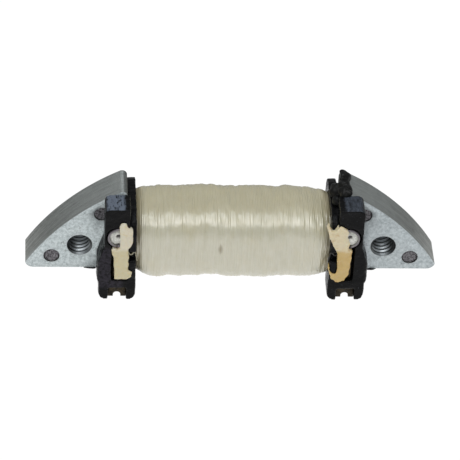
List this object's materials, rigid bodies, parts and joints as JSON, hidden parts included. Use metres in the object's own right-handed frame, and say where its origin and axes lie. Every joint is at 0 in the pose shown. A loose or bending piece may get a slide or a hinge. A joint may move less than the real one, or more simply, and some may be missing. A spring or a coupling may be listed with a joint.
{
  "type": "magneto generating coil",
  "caption": "Flywheel magneto coil with a thread-wrapped winding on a black bobbin, curved laminated steel pole shoes, tapped holes and brass solder terminals.",
  "frame": {"origin": "on the rear seating face of the core, halfway between the two tapped holes", "axes": "+X along the core towards the right pole, +Y out of the rear seating face, +Z from the flat underside towards the curved pole faces"},
  "size_m": [0.0998, 0.0214, 0.0302],
  "materials": {
    "core_steel": "zinc-plated sheet steel, ground curved edges",
    "rivet_steel": "peened, rough, darkened",
    "bobbin_black": "moulded phenolic, semi-gloss",
    "winding_copper": "enamelled copper wire",
    "tape_yellow": "polyester insulating tape",
    "thread_cream": "cream thread wrapping, varnished",
    "terminal_brass": "pressed brass strip, dulled",
    "solder_tin": "cold solder, satin",
    "lead_enamel": "enamelled wire, light amber",
    "resin_cream": "cured resin drop, cream, satin",
    "resin_ochre": "cured resin drop, cream to ochre, satin",
    "sealant_black": "black epoxy, satin"
  },
  "bodies": {
    "root": {"left_lamination_01": "core_steel", "left_lamination_02": "core_steel", "left_lamination_03": "core_steel", "left_lamination_04": "core_steel", "left_lamination_05": "core_steel", "left_lamination_06": "core_steel", "left_lamination_07": "core_steel", "left_lamination_08": "core_steel", "left_lamination_09": "core_steel", "left_lamination_10": "core_steel", "left_lamination_11": "core_steel", "left_lamination_12": "core_steel", "left_lamination_13": "core_steel", "left_lamination_14": "core_steel", "left_lamination_15": "core_steel", "left_lamination_16": "core_steel", "left_lamination_17": "core_steel", "right_lamination_01": "core_steel", "right_lamination_02": "core_steel", "right_lamination_03": "core_steel", "right_lamination_04": "core_steel", "right_lamination_05": "core_steel", "right_lamination_06": "core_steel", "right_lamination_07": "core_steel", "right_lamination_08": "core_steel", "right_lamination_09": "core_steel", "right_lamination_10": "core_steel", "right_lamination_11": "core_steel", "right_lamination_12": "core_steel", "right_lamination_13": "core_steel", "right_lamination_14": "core_steel", "right_lamination_15": "core_steel", "right_lamination_16": "core_steel", "right_lamination_17": "core_steel", "left_outer_rivet": "rivet_steel", "left_inner_rivet": "rivet_steel", "right_outer_rivet": "rivet_steel", "right_inner_rivet": "rivet_steel", "bobbin": "bobbin_black", "exciter_winding": "winding_copper", "winding_tape": "tape_yellow", "thread_wrap": "thread_cream", "left_terminal": "terminal_brass", "left_solder": "solder_tin", "left_lead": "lead_enamel", "left_resin": "resin_cream", "left_sealant": "sealant_black", "right_terminal": "terminal_brass", "right_solder": "solder_tin", "right_lead": "lead_enamel", "right_resin": "resin_ochre", "right_sealant": "sealant_black"}
  },
  "joints": []
}
